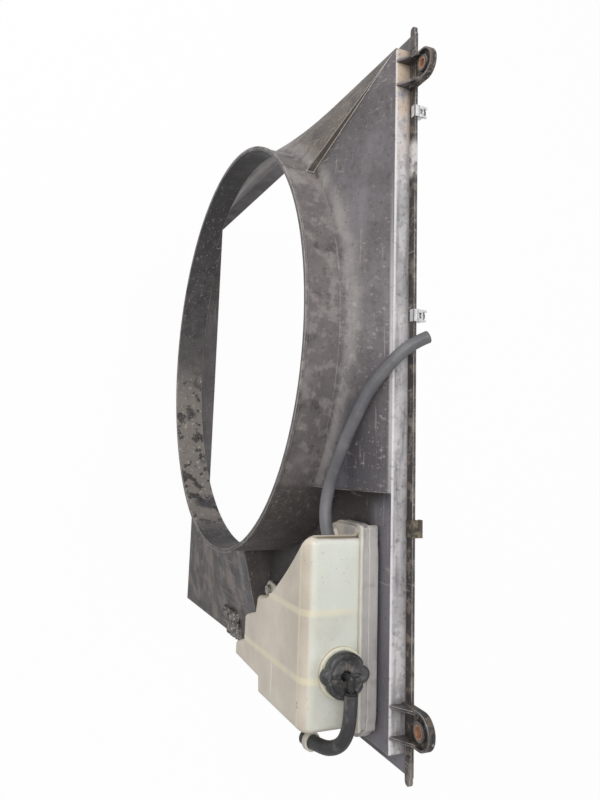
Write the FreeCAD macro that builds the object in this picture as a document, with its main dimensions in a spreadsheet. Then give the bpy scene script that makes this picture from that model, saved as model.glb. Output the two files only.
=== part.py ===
"""Radiator fan shroud of a large pickup, with its coolant overflow tank.

Frame: +X runs along the width of the car, +Y points at the radiator, +Z is up.
The origin lies midway between the two mounting ears' holes, on the face that
meets the radiator.  All lengths are millimetres.
"""
import FreeCAD, Part
import math
import os
import Sketcher

Vec = FreeCAD.Vector
doc = FreeCAD.newDocument("fan_shroud")
NODES = []

# ---------------------------------------------------------------- dimensions
SIZES = (
    # flange that lies against the radiator
    ("flange_width", 700), ("flange_height", 678), ("flange_t", 3), ("wall", 3),
    ("inset_top", 9.5), ("inset_bottom", 17), ("inset_end", 17),
    ("horn_length", 8), ("horn_height", 8), ("horn_t", 3.5),
    ("foot_radius", 8), ("tooth", 4),
    # hood: a shallow box, a sloping transition and the fan ring
    ("box_depth_top", 20), ("box_depth_bottom", 29),
    ("ring_side_gap", 24), ("ring_top_gap", 48), ("ring_radius", 254),
    ("ring_root", 57), ("ramp_root", 66), ("hood_depth", 95), ("rim_bead", 1.5),
    # recess that carries the tank
    ("recess_width", 223), ("recess_drop", 303), ("recess_floor", 20),
    # mounting ears with their steel bushes
    ("ear_inset", 44), ("ear_rise", 17), ("ear_radius", 15.5), ("ear_depth", 7),
    ("ear_plate", 3.5), ("ear_rim", 2), ("bush_od", 12), ("bush_id", 8.4),
    ("gusset_t", 2.5), ("gusset_pitch", 26), ("gusset_rise", 12),
    # overflow tank
    ("tank_front", 94), ("tank_seam", 38), ("tank_back", 23.5), ("tank_drop", 30),
    ("tank_end_gap", 17), ("tank_width", 172), ("tank_height", 184), ("tank_wall", 2.5),
    ("tank_round", 6), ("tank_top_round", 12), ("weld_lip", 3.5), ("weld_lip_t", 3),
    ("rim_reach_left", 3), ("rim_reach_end", 14), ("rim_height", 5), ("rim_drop", 78),
    ("rim_round", 27), ("rim_step", 2), ("rim_front", 33),
    ("web_t", 2), ("web_inset_left", 100), ("web_inset_right", 43),
    # filler neck and cap
    ("neck_inset", 49), ("neck_y", 58), ("neck_od", 33.4), ("neck_height", 8.1),
    ("neck_boss_od", 44), ("neck_boss_t", 3),
    ("cap_od", 40), ("cap_height", 10.4), ("cap_wall", 2.6), ("cap_roof", 4),
    ("wing_span", 47), ("wing_od", 14), ("wing_t", 8), ("slot_depth", 2),
    ("slot_width", 5), ("slot_span", 26), ("turn_gap", 0.4), ("seal_t", 1.5),
    # hoses, the elbow in the cap and the nipple on the tank
    ("hose_od", 12), ("hose_bore", 7), ("nipple_length", 13), ("nipple_wall", 1.5), ("collar_t", 2),
    ("nipple_drop", 28.5), ("nipple_shift", 2), ("fit_gap", 0.1),
    ("elbow_rise", 7), ("stem_od", 6.6), ("clip_width", 5), ("clip_t", 2.2),
    # fasteners on the top edge of the flange
    ("nut_inset_left", 85), ("nut_pitch", 208), ("hook_inset", 209),
    ("nut_width", 12), ("nut_t", 1.2), ("nut_leaf", 8), ("nut_lip", 2.5),
    ("collar_od", 8.5),
    ("collar_reach", 10), ("hook_width", 16), ("hook_t", 1.5), ("hook_reach", 7),
    # tank lug, its screw and nut
    ("lug_inset", 75), ("lug_drop", 226), ("lug_radius", 10), ("lug_t", 3),
    ("lug_arm_rise", 78), ("lug_arm_width", 30), ("lug_clearance", 0.3),
    ("screw_d", 6), ("head_af", 10), ("head_t", 4), ("nut_af", 10), ("hex_nut_t", 4),
    # strip of sealing compound on the right end wall
    ("strip_drop", 378), ("strip_length", 54), ("strip_width", 38), ("strip_t", 4),
)

sheet = doc.addObject("Spreadsheet::Sheet", "dims")
for row, (alias, value) in enumerate(SIZES, start=1):
    sheet.set("A%d" % row, alias)
    sheet.set("B%d" % row, str(value))
    sheet.setAlias("B%d" % row, alias)
doc.recompute()


def size(alias):
    """The value that the sheet holds for one alias."""
    return float(sheet.get(alias))


# Places that several pieces share.  Heights are measured from the ear holes.
edge_z = -size("ear_rise")                                # top edge of the flange
box_top = edge_z - size("inset_top")
box_bottom = edge_z - size("flange_height") + size("inset_bottom")
box_half = size("flange_width") / 2 - size("inset_end")
ring_x = -(box_half - size("ring_side_gap") - size("ring_radius"))
ring_z = edge_z - size("ring_top_gap") - size("ring_radius")
recess_left = box_half - size("recess_width")
ear_x = size("flange_width") / 2 - size("ear_inset")
tank_top = edge_z - size("tank_drop")
tank_end = box_half - size("tank_end_gap")
tank_left = tank_end - size("tank_width")
neck_x = tank_end - size("neck_inset")
lug_x = tank_end - size("lug_inset")
lug_z = tank_top - size("lug_drop")
wall = size("wall")

# The same places written as expressions, for the objects that the sheet drives.
EAR_X = "(dims.flange_width / 2 - dims.ear_inset)"
TANK_END = "(dims.flange_width / 2 - dims.inset_end - dims.tank_end_gap)"
TANK_TOP = "(-dims.ear_rise - dims.tank_drop)"


# ------------------------------------------------------------------- helpers
def finish(node, label):
    """Name one finished sub-part and keep it for the export."""
    node.Label = label
    NODES.append(node)
    return node


def place(node, x=0, y=0, z=0, axis=None, angle=0):
    """Put a document object at a place given by numbers or expressions."""
    turn = FreeCAD.Rotation(axis, angle) if axis else FreeCAD.Rotation()
    node.Placement = FreeCAD.Placement(Vec(0, 0, 0), turn)
    for key, value in (("x", x), ("y", y), ("z", z)):
        node.setExpression("Placement.Base." + key, str(value))
    return node


def box(name, corner, lengths):
    """A Part::Box from expressions for its low corner and its three lengths."""
    node = doc.addObject("Part::Box", name)
    for prop, value in zip(("Length", "Width", "Height"), lengths):
        node.setExpression(prop, str(value))
    return place(node, *corner)


def rod(name, centre, radius, length):
    """A Part::Cylinder that runs from its centre along +Y."""
    node = doc.addObject("Part::Cylinder", name)
    node.setExpression("Radius", str(radius))
    node.setExpression("Height", str(length))
    return place(node, *centre, Vec(1, 0, 0), -90)


def fuse(name, *parts):
    node = doc.addObject("Part::MultiFuse", name)
    node.Shapes = list(parts)
    return node


def cut(name, base, tool):
    node = doc.addObject("Part::Cut", name)
    node.Base, node.Tool = base, tool
    return node


def shape_node(name, shape):
    """A Part::Feature for a form that no primitive or feature fits."""
    node = doc.addObject("Part::Feature", name)
    node.Shape = shape
    return node


def prism(points, direction):
    """A straight prism on a closed outline of points."""
    outline = Part.makePolygon([Vec(*p) for p in list(points) + [points[0]]])
    return Part.Face(outline).extrude(Vec(*direction))


def new_body(name):
    return doc.addObject("PartDesign::Body", name)


def plane_of(body, role):
    return next(f for f in body.Origin.OriginFeatures if f.Role == role)


def sketch_on(body, name, role):
    sketch = body.newObject("Sketcher::SketchObject", name)
    sketch.AttachmentSupport = [(plane_of(body, role), "")]
    sketch.MapMode = "FlatFace"
    return sketch


def circle_in(sketch, diameter, x=0.0, y=0.0):
    """A circle whose diameter follows an expression."""
    index = sketch.addGeometry(Part.Circle(Vec(x, y, 0), Vec(0, 0, 1), 5), False)
    if x == 0 and y == 0:
        sketch.addConstraint(Sketcher.Constraint("Coincident", index, 3, -1, 1))
    constraint = sketch.addConstraint(Sketcher.Constraint("Diameter", index, 10))
    sketch.setExpression("Constraints[%d]" % constraint, diameter)
    return index


def pad(body, name, sketch, length, reverse=False):
    feature = body.newObject("PartDesign::Pad", name)
    feature.Profile = sketch
    feature.setExpression("Length", length)
    feature.Reversed = reverse
    return feature


# ---------------------------------------------------- shroud: the main moulding
def rectangle_wire(half, low, high, y_high, y_low):
    """A rectangle round the box; its top and bottom edges may differ in depth."""
    corners = [Vec(-half, y_low, low), Vec(half, y_low, low),
               Vec(half, y_high, high), Vec(-half, y_high, high)]
    return Part.makePolygon(corners + corners[:1])


def ring_wire(radius, y):
    """The ring's circle in four arcs that start at the rectangle's corners."""
    circle = Part.Circle(Vec(ring_x, y, ring_z), Vec(0, -1, 0), radius)
    start = circle.parameter(Vec(ring_x - radius, y, ring_z - radius))
    quarter = math.pi / 2
    step = quarter if circle.value(start + quarter).x > ring_x else -quarter
    arcs = []
    for i in range(4):
        a, b = start + i * step, start + (i + 1) * step
        middle = (a + b) / 2
        arcs.append(Part.Arc(circle.value(a), circle.value(middle), circle.value(b)).toShape())
    return Part.Wire(arcs)


def hood(offset, rise, ring_root):
    """The hood's solid: box, ruled transition and ring, drawn in by an offset."""
    half = box_half - offset
    low, high = box_bottom + offset, box_top - offset
    radius = size("ring_radius") - offset
    root = -ring_root + rise
    sections = [
        rectangle_wire(half, low, high, 0, 0),
        rectangle_wire(half, low, high, -size("box_depth_top") + rise,
                       -size("box_depth_bottom") + rise),
        ring_wire(radius, root),
    ]
    body = Part.makeLoft(sections[:2], True, True)
    body = body.fuse(Part.makeLoft(sections[1:], True, True))
    ring = Part.makeCylinder(radius, size("hood_depth") + root + rise,
                             Vec(ring_x, root, ring_z), Vec(0, -1, 0))
    return body.fuse(ring)


def end_ramp(offset, rise):
    """The left end's slope, which meets the ring further out than the others do.

    It is the part of a taller hood that lies in a sector: from the left corners
    to the ring, at 45 degrees either side, and in to a point inside the ring.
    """
    radius = size("ring_radius")
    far = size("flange_width")
    shift = -1.5 * offset                    # keeps a wall on the sector's own sides
    corner_x, low, high = -box_half + shift, box_bottom, box_top
    reach = radius * math.sqrt(0.5)
    ring_left = ring_x - reach + shift
    sector = [(corner_x - far, 0, low), (corner_x, 0, low), (ring_left, 0, ring_z - reach),
              (ring_x - 0.6 * radius, 0, ring_z),
              (ring_left, 0, ring_z + reach), (corner_x, 0, high), (corner_x - far, 0, high)]
    raised = hood(offset, rise, size("ramp_root"))
    return raised.common(prism(sector, (0, -size("hood_depth"), 0)))


def recess_block(grow):
    """The space kept free for the tank, outside the fan ring."""
    low = edge_z - size("recess_drop") - grow
    block = Part.makeBox(size("flange_width"), 2 * size("hood_depth"), size("flange_height"),
                         Vec(recess_left - grow,
                             -size("recess_floor") + grow - 2 * size("hood_depth"), low))
    ring = Part.makeCylinder(size("ring_radius") - grow, 4 * size("hood_depth"),
                             Vec(ring_x, -3 * size("hood_depth"), ring_z), Vec(0, 1, 0))
    return block.cut(ring)


def ear(side):
    """One mounting ear: plate, raised rim, boss for the bush and two gussets."""
    x = side * ear_x
    r, rim = size("ear_radius"), size("ear_rim")

    def outline(radius, depth):
        disc = Part.makeCylinder(radius, depth, Vec(x, -depth, 0), Vec(0, 1, 0))
        foot = Part.makeBox(2 * radius, depth, -box_top, Vec(x - radius, -depth, box_top))
        return disc.fuse(foot)

    solid = outline(r, size("ear_depth")).cut(
        outline(r - rim, size("ear_depth") - size("ear_plate")).translated(
            Vec(0, -size("ear_plate"), 0)))
    boss_r = size("bush_od") / 2 + rim
    solid = solid.fuse(Part.makeCylinder(boss_r, size("ear_depth"),
                                         Vec(x, -size("ear_depth"), 0), Vec(0, 1, 0)))
    tip_y, tip_z = -size("box_depth_top"), box_top - 1
    for way in (-1, 1):
        rib_x = x + way * size("gusset_pitch") / 2 - size("gusset_t") / 2
        points = [(rib_x, tip_y, tip_z), (rib_x, 0, tip_z),
                  (rib_x, 0, edge_z + size("gusset_rise")),
                  (rib_x, -size("ear_depth"), edge_z + size("gusset_rise"))]
        solid = solid.fuse(prism(points, (size("gusset_t"), 0, 0)))
    return solid


def ear_hole(side):
    x = side * ear_x
    depth = size("ear_depth")
    return Part.makeCylinder(size("bush_od") / 2, 3 * depth, Vec(x, -2 * depth, 0), Vec(0, 1, 0))


def horn(side):
    """The rounded tongue in which the flange's top strip ends."""
    height, thick = size("horn_height"), size("horn_t")
    x = side * size("flange_width") / 2
    z = edge_z - 1 - height
    reach = size("horn_length") - height / 2
    plate = Part.makeBox(reach + 2 * height, thick, height,
                         Vec(x - 2 * height if side > 0 else x - reach, -thick, z))
    nose = Part.makeCylinder(height / 2, thick, Vec(x + side * reach, -thick, z + height / 2),
                             Vec(0, 1, 0))
    return plate.fuse(nose)


def feet():
    """Two rounded feet and a few teeth on the flange's lower edge."""
    low = edge_z - size("flange_height")
    radius, thick, tooth = size("foot_radius"), size("flange_t"), size("tooth")
    parts = []
    for side in (-1, 1):
        x = side * (size("flange_width") / 2 - radius)
        parts.append(Part.makeCylinder(radius, thick, Vec(x, -thick, low - radius / 3),
                                       Vec(0, 1, 0)))
        for i in range(1, 4):
            left = x - side * (radius + 2 * i * tooth) - tooth / 2
            parts.append(Part.makeBox(tooth, thick, 2 * tooth, Vec(left, -thick, low - tooth)))
    return parts


def lug_boss():
    """The boss on the recess floor that takes the tank's screw."""
    top = size("tank_seam") - size("lug_t")
    return Part.makeCylinder(size("lug_radius") - 1, top - size("recess_floor") + wall,
                             Vec(lug_x, -top, lug_z), Vec(0, 1, 0))


def lug_hole():
    depth = 2 * size("tank_seam")
    return Part.makeCylinder(size("screw_d") / 2 + size("lug_clearance"), depth,
                             Vec(lug_x, -depth, lug_z), Vec(0, 1, 0))


def shroud():
    flange = Part.makeBox(size("flange_width"), size("flange_t"), size("flange_height"),
                          Vec(-size("flange_width") / 2, -size("flange_t"),
                              edge_z - size("flange_height")))
    root = size("ring_root")
    outer = hood(0, 0, root).fuse(end_ramp(0, 0)).cut(recess_block(0))
    inner = hood(wall, wall, root).fuse(end_ramp(wall, wall)).cut(recess_block(wall))
    solid = outer.fuse([flange, horn(-1), horn(1), ear(-1), ear(1), lug_boss()] + feet())
    solid = solid.cut(inner).removeSplitter()
    bead = Part.makeCylinder(size("ring_radius") + size("rim_bead"), 2 * size("rim_bead"),
                             Vec(ring_x, -size("hood_depth"), ring_z), Vec(0, 1, 0))
    bore = Part.makeCylinder(size("ring_radius") - wall, 4 * wall,
                             Vec(ring_x, -size("hood_depth") - wall, ring_z), Vec(0, 1, 0))
    solid = solid.fuse(bead.cut(bore))
    for hole in (ear_hole(-1), ear_hole(1), lug_hole()):
        solid = solid.cut(hole)
    return solid.removeSplitter()


finish(shape_node("shroud_moulding", shroud()), "shroud_moulding")


# ----------------------------------------------------- steel bushes in the ears
def bush(name, side):
    """A plain steel sleeve pressed into one ear."""
    body = new_body(name)
    sketch = sketch_on(body, name + "_ring", "XZ_Plane")
    circle_in(sketch, "dims.bush_od")
    circle_in(sketch, "dims.bush_id")
    pad(body, name + "_sleeve", sketch, "dims.ear_depth")
    return finish(place(body, "%d * %s" % (side, EAR_X)), name)


bush("ear_bush_left", -1)
bush("ear_bush_right", 1)


# ----------------------------------------- spring nuts and hook on the top edge
def spring_nut(name, x):
    """A folded sheet clip over the flange's edge, with a threaded collar."""
    t, leaf = "dims.nut_t", "dims.nut_leaf"
    front = box(name + "_front", (x + " - dims.nut_width / 2", "-dims.flange_t - " + t,
                                  "-dims.ear_rise - dims.nut_lip"),
                ("dims.nut_width", t, "dims.nut_lip + " + t))
    back = box(name + "_back", (x + " - dims.nut_width / 2", 0, "-dims.ear_rise - " + leaf),
               ("dims.nut_width", t, leaf + " + " + t))
    fold = box(name + "_fold", (x + " - dims.nut_width / 2", "-dims.flange_t - " + t,
                                "-dims.ear_rise"),
               ("dims.nut_width", "dims.flange_t + 2 * " + t, t))
    centre = (x, t, "-dims.ear_rise - dims.collar_od / 2")
    collar = rod(name + "_collar", centre, "dims.collar_od / 2 - 0.5",
                 "dims.collar_reach - " + t)
    bore = rod(name + "_bore", (x, 0, "-dims.ear_rise - dims.collar_od / 2"),
               "dims.screw_d / 2 - 0.5", "2 * dims.collar_reach")
    whole = fuse(name + "_sheet", front, back, fold, collar)
    return finish(cut(name, whole, bore), name)


spring_nut("edge_nut_left", "(dims.nut_inset_left - dims.flange_width / 2)")
spring_nut("edge_nut_middle",
           "(dims.nut_inset_left + dims.nut_pitch - dims.flange_width / 2)")


def edge_hook():
    """A wider bent clip: leaf in front, fold over the edge, tongue behind."""
    low_x = "dims.flange_width / 2 - dims.hook_inset - dims.hook_width / 2"
    t, leaf = "dims.hook_t", "dims.nut_leaf"
    front = box("hook_front", (low_x, "-dims.flange_t - " + t, "-dims.ear_rise - " + leaf),
                ("dims.hook_width", t, leaf + " + " + t))
    fold = box("hook_fold", (low_x, "-dims.flange_t - " + t, "-dims.ear_rise"),
               ("dims.hook_width", "dims.flange_t + dims.hook_reach + " + t, t))
    tongue = box("hook_tongue", (low_x, "dims.hook_reach - " + t, "-dims.ear_rise - 4"),
                 ("dims.hook_width", t, "4 + " + t))
    return finish(fuse("edge_hook_right", front, fold, tongue), "edge_hook_right")


edge_hook()


# ------------------------------------------------------------ the overflow tank
def tank_outline():
    """The tank's outline: flat top, stepped right end, left side round the ring."""

    def at(across, down):
        """A point as shares of the tank's width from its end and height from its top."""
        return Vec(tank_end - across * size("tank_width"), 0,
                   tank_top - down * size("tank_height"))

    side = [at(0.545, 0.55), at(0.72, 0.31), at(0.995, 0.022)]
    steps = [at(0.535, 0.663), at(0.436, 0.69), at(0.384, 0.853), at(0.238, 0.859),
             at(0.186, 1), at(0.1, 1), at(0.082, 0.614), at(0, 0.603)]
    corners = [side[0]] + steps + [at(0, 0), at(1, 0), side[2]]
    lines = [Part.LineSegment(a, b).toShape() for a, b in zip(corners, corners[1:])]
    return Part.Wire([Part.Arc(*side).toShape()] + lines)


def tank_slab(offset, y_near, y_far):
    """The outline, grown by an offset and run between two depths."""
    wire = tank_outline()
    if offset:
        wire = wire.makeOffset2D(offset)
    return Part.Face(wire).extrude(Vec(0, y_far - y_near, 0)).translated(Vec(0, y_near, 0))


def bevelled_slab(inset, y_near, front):
    """The outline shrunk by an inset, with a bevel that stays inside the top round."""
    y, z, bevel = front + inset, tank_top - inset, size("tank_top_round") - inset
    corner = prism([(0, y, z), (0, y + bevel, z), (0, y, z - bevel)],
                   (size("flange_width"), 0, 0))
    return tank_slab(-inset, y_near, y).cut(corner)


def front_edges(solid, top):
    """A tank solid's front edges: the one along its top, or all the others."""
    bounds = solid.BoundBox
    found = []
    for edge in solid.Edges:
        b = edge.BoundBox
        in_front = abs(b.YMin - bounds.YMin) < 0.01 and b.YLength < 0.01
        if in_front and (b.ZMin > bounds.ZMax - 1) == top:
            found.append(edge)
    return found


def route(start_x, points):
    """Hose points: x from a start, y, and height above the flange's top edge."""
    return [Vec(start_x + x, y, edge_z + z) for x, y, z in points]


# The short hose: off the elbow, over the tank's end and into its moulded ring.
arm_z = (size("neck_height") + size("seal_t") + size("turn_gap") + size("cap_roof")
         + size("elbow_rise") - size("tank_drop"))
SHORT_ROUTE = route(neck_x, [
    (12, -size("neck_y"), arm_z), (33, -size("neck_y"), arm_z), (52, -61, arm_z - 5),
    (62, -66, -29), (64, -71, -45), (64.5, -74.5, -66)])


def neck(bore):
    """The filler neck with its raised foot, or the bore through it."""
    centre = Vec(neck_x, -size("neck_y"), tank_top)
    radius, up = size("neck_od") / 2, Vec(0, 0, 1)
    if bore:
        drop = 2 * size("tank_wall")
        return Part.makeCylinder(radius - size("tank_wall"), size("neck_height") + 2 * drop,
                                 centre - up * drop, up)
    foot_r = size("neck_boss_od") / 2
    foot = Part.makeCylinder(foot_r, size("neck_boss_t") + 1, centre - up, up)
    lip_middle = -size("tank_seam") - size("weld_lip_t") / 2
    foot = foot.cut(Part.makeBox(2 * foot_r, foot_r, foot_r,
                                 Vec(neck_x - foot_r, lip_middle, tank_top - 2)))
    return foot.fuse(Part.makeCylinder(radius, size("neck_height"), centre, up))


NIPPLE_WAY = Vec(-0.743, 0, -0.669)
nipple_mouth = Vec((tank_left + size("nipple_shift")), -size("neck_y") + 5, tank_top - size("nipple_drop"))
hose_start = nipple_mouth - NIPPLE_WAY * size("nipple_length")


def nipple():
    """The stub on the tank's cut-off corner; the long hose slides over it."""
    pipe_r = size("hose_bore") / 2 - size("fit_gap")
    collar = Part.makeCylinder(size("hose_od") / 2, 2 * size("collar_t") + 2,
                               hose_start - NIPPLE_WAY * (2 * size("collar_t") + 2), NIPPLE_WAY)
    pipe = Part.makeCylinder(pipe_r, size("nipple_length") - 2, hose_start, NIPPLE_WAY)
    return collar.fuse(pipe)


def nipple_bore():
    reach = 2 * size("nipple_length")
    return Part.makeCylinder(size("hose_bore") / 2 - size("nipple_wall"), 1.5 * reach,
                             hose_start - NIPPLE_WAY * reach, NIPPLE_WAY)


def front_shell():
    seam, front = -size("tank_seam"), -size("tank_front")
    thick = size("tank_wall")
    outer = tank_slab(0, seam, front)
    outer = outer.makeFillet(size("tank_top_round"), front_edges(outer, True))
    outer = outer.makeFillet(size("tank_round"), front_edges(outer, False))
    inner = bevelled_slab(thick, seam + 1, front)
    lip = tank_slab(size("weld_lip"), seam, seam - size("weld_lip_t"))
    solid = outer.fuse([lip, neck(False), nipple()]).cut(inner)
    for x in (tank_end - size("web_inset_left"), tank_end - size("web_inset_right")):
        web = Part.makeBox(size("web_t"), size("tank_front") - size("tank_seam") - 10,
                           tank_end,
                           Vec(x - size("web_t") / 2, front + 1, tank_top - tank_end))
        web = web.common(bevelled_slab(1, seam, front))
        solid = solid.fuse(web.cut(neck(True)))
    solid = solid.cut(neck(True)).cut(nipple_bore())
    return solid


def rear_plate(step, y_near, y_far):
    """One layer of the rear shell: the outline with a wide rounded top end."""
    low = tank_top - size("rim_drop")
    high = tank_top + size("rim_height") - step
    left, right = (tank_left - size("rim_reach_left") + step,
                   tank_end + size("rim_reach_end") - step)
    plate = Part.makeBox(right - left, y_far - y_near, high - low, Vec(left, y_near, low))
    corners = [e for e in plate.Edges if e.BoundBox.ZLength < 0.01 and e.BoundBox.XLength < 0.01]
    plate = plate.makeFillet(size("rim_round"), corners)
    return plate.fuse(tank_slab(size("weld_lip") - step, y_near, y_far)).removeSplitter()


def rear_shell():
    seam, back, rim = -size("tank_seam"), -size("tank_back"), -size("rim_front")
    thick = size("tank_wall")
    outer = rear_plate(size("rim_step"), seam, rim).fuse(rear_plate(0, rim, back))
    inner = tank_slab(-thick, seam - 1, back - thick)
    lug_disc = Part.makeCylinder(size("lug_radius"), size("lug_t"),
                                 Vec(lug_x, seam, lug_z), Vec(0, 1, 0))
    arm_end, arm_top = tank_end - size("web_inset_right"), lug_z + size("lug_arm_rise")
    arm = prism([(lug_x - size("lug_radius"), seam, lug_z),
                 (lug_x + size("lug_radius"), seam, lug_z),
                 (arm_end, seam, arm_top),
                 (arm_end - size("lug_arm_width"), seam, arm_top)], (0, size("lug_t"), 0))
    return outer.fuse([lug_disc, arm]).cut(inner).cut(lug_hole())


def hose_grip():
    """The ring moulded on the tank's end wall that the short hose runs through."""
    before, after = SHORT_ROUTE[-2], SHORT_ROUTE[-1]
    way = after - before
    way.normalize()
    inner, width = size("hose_od") / 2, size("clip_width")
    centre = before + (after - before) * 0.5 - way * width / 2
    ring = Part.makeCylinder(inner + size("clip_t"), width, centre, way)
    wall_x = tank_end - size("tank_wall") / 2
    web = Part.makeBox(centre.x - wall_x, width, width,
                       Vec(wall_x, centre.y - width / 2, centre.z - width))
    bore = Part.makeCylinder(inner, 3 * size("hose_od"), before - way * size("hose_od"), way)
    return ring.fuse(web).cut(bore)


front = front_shell().fuse(hose_grip()).removeSplitter()
finish(shape_node("tank_front_shell", front), "tank_front_shell")
finish(shape_node("tank_rear_shell", rear_shell()), "tank_rear_shell")


# -------------------------------------------------- screw and nut in the tank lug
def lug_screw():
    """A hexagon screw from the front; its head bears on the lug."""
    body = new_body("tank_screw")
    head = body.newObject("PartDesign::AdditivePrism", "screw_head")
    head.Polygon = 6
    head.setExpression("Circumradius", "dims.head_af / sqrt(3)")
    head.setExpression("Height", "dims.head_t")
    shank = body.newObject("PartDesign::AdditiveCylinder", "screw_shank")
    shank.setExpression("Radius", "dims.screw_d / 2")
    shank.setExpression("Height", "dims.head_t + dims.tank_seam - dims.recess_floor"
                        " + dims.wall + dims.hex_nut_t + 2")
    place(body, TANK_END + " - dims.lug_inset", "-dims.tank_seam - dims.head_t",
          TANK_TOP + " - dims.lug_drop", Vec(1, 0, 0), -90)
    return finish(body, "tank_screw")


def lug_nut():
    """The nut behind the recess floor."""
    body = new_body("tank_screw_nut")
    block = body.newObject("PartDesign::AdditivePrism", "nut_block")
    block.Polygon = 6
    block.setExpression("Circumradius", "dims.nut_af / sqrt(3)")
    block.setExpression("Height", "dims.hex_nut_t")
    hole = body.newObject("PartDesign::SubtractiveCylinder", "nut_hole")
    hole.setExpression("Radius", "dims.screw_d / 2")
    hole.setExpression("Height", "dims.hex_nut_t")
    place(body, TANK_END + " - dims.lug_inset", "-dims.recess_floor + dims.wall",
          TANK_TOP + " - dims.lug_drop", Vec(1, 0, 0), -90)
    return finish(body, "tank_screw_nut")


lug_screw()
lug_nut()


# ---------------------------------------------------------- filler cap and seal
cap_roof_z = tank_top + size("neck_height") + size("seal_t") + size("turn_gap")


def at_neck(node, height):
    return place(node, TANK_END + " - dims.neck_inset", "-dims.neck_y",
                 TANK_TOP + " + dims.neck_height + " + height)


def cap():
    """A winged cap: skirt, roof, two finger wings and a cross pressed in the top."""
    body = new_body("tank_cap")
    skirt = sketch_on(body, "cap_skirt", "XY_Plane")
    circle_in(skirt, "dims.cap_od")
    pad(body, "cap_block", skirt, "dims.cap_height")
    for name, sign, y in (("near", "-", -1.0), ("far", "", 1.0)):
        sketch = sketch_on(body, "wing_" + name, "XY_Plane")
        index = circle_in(sketch, "dims.wing_od", 0.0, y * size("wing_od"))
        row = sketch.addConstraint(Sketcher.Constraint("DistanceY", -1, 1, index, 3, y))
        sketch.setExpression("Constraints[%d]" % row,
                             sign + "(dims.wing_span - dims.wing_od) / 2")
        sketch.addConstraint(Sketcher.Constraint("PointOnObject", index, 3, -2))
        sketch.AttachmentOffset = FreeCAD.Placement(Vec(0, 0, 1), FreeCAD.Rotation())
        sketch.setExpression("AttachmentOffset.Base.z", "dims.cap_height - dims.wing_t - 1")
        pad(body, "wing_pad_" + name, sketch, "dims.wing_t")
    mouth = sketch_on(body, "cap_mouth", "XY_Plane")
    circle_in(mouth, "dims.cap_od - 2 * dims.cap_wall")
    hollow = body.newObject("PartDesign::Pocket", "cap_hollow")
    hollow.Profile = mouth
    hollow.Reversed = True
    hollow.setExpression("Length", "dims.cap_height - dims.cap_roof")
    stem = sketch_on(body, "cap_stem_hole", "XY_Plane")
    circle_in(stem, "dims.stem_od + 2 * dims.turn_gap")
    hole = body.newObject("PartDesign::Pocket", "cap_stem_bore")
    hole.Profile = stem
    hole.Reversed = True
    hole.setExpression("Length", "2 * dims.cap_height")
    for name, wide, deep in (("slot_across", "dims.slot_span", "dims.slot_width"),
                             ("slot_along", "dims.slot_width", "dims.slot_span")):
        slot = body.newObject("PartDesign::SubtractiveBox", name)
        slot.setExpression("Length", wide)
        slot.setExpression("Width", deep)
        slot.setExpression("Height", "2 * dims.slot_depth")
        slot.AttachmentSupport = [(plane_of(body, "XY_Plane"), "")]
        slot.MapMode = "FlatFace"
        slot.setExpression("AttachmentOffset.Base.x", "-(%s) / 2" % wide)
        slot.setExpression("AttachmentOffset.Base.y", "-(%s) / 2" % deep)
        slot.setExpression("AttachmentOffset.Base.z", "dims.cap_height - dims.slot_depth")
    at_neck(body, "dims.seal_t + dims.turn_gap - dims.cap_height + dims.cap_roof")
    return finish(body, "tank_cap")


def cap_seal():
    """The flat ring glued in the cap's roof; it lands on the neck's mouth."""
    body = new_body("tank_cap_seal")
    ring = sketch_on(body, "seal_ring", "XY_Plane")
    circle_in(ring, "dims.neck_od")
    circle_in(ring, "dims.neck_od - 4 * dims.tank_wall")
    pad(body, "seal_pad", ring, "dims.seal_t")
    return finish(at_neck(body, "dims.turn_gap"), "tank_cap_seal")


cap()
cap_seal()


# ------------------------------------------------------------- hoses and elbow
def rounded_path(points, label):
    """Straight runs joined by tangent arcs; prints the arcs' radii."""
    edges, last, radii = [], points[0], []
    for before, corner, after in zip(points, points[1:], points[2:]):
        back, ahead = before - corner, after - corner
        run = min(back.Length, ahead.Length)
        half = (math.pi - back.getAngle(ahead)) / 2
        trim = 0.45 * run
        back.normalize()
        ahead.normalize()
        start, end = corner + back * trim, corner + ahead * trim
        radius = trim / math.tan(half)
        radii.append(round(radius, 1))
        inward = back + ahead
        inward.normalize()
        middle = corner + inward * (radius / math.cos(half) - radius)
        if (start - last).Length > 1e-6:
            edges.append(Part.LineSegment(last, start).toShape())
        edges.append(Part.Arc(start, middle, end).toShape())
        last = end
    edges.append(Part.LineSegment(last, points[-1]).toShape())
    path = Part.Wire(edges)
    print(label, "length", round(path.Length, 1), "radii", radii)
    return path


def sweep(path, points, radius):
    """A round section carried along a path."""
    way = points[1] - points[0]
    section = Part.Wire([Part.Circle(points[0], way, radius).toShape()])
    return path.makePipeShell([section], True, False)


def hose(name, points, sleeve_length):
    """A rubber hose, bored out only as far as its pipe reaches in."""
    path = rounded_path(points, name)
    way = points[1] - points[0]
    way.normalize()
    solid = sweep(path, points, size("hose_od") / 2)
    bore = Part.makeCylinder(size("hose_bore") / 2, sleeve_length, points[0], way)
    return finish(shape_node(name, solid.cut(bore)), name)


LONG_ROUTE = [hose_start, nipple_mouth + NIPPLE_WAY * 4] + route(nipple_mouth.x, [
    (-34, -60, -62), (-70, -57, -42), (-103, -50, -28), (-133, -39, -17),
    (-155, -27, -3), (-173, -12, 8), (-181, 5, 12)])
hose("radiator_hose", LONG_ROUTE, size("nipple_length"))

hose("vent_hose", SHORT_ROUTE, size("nipple_length"))


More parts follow.
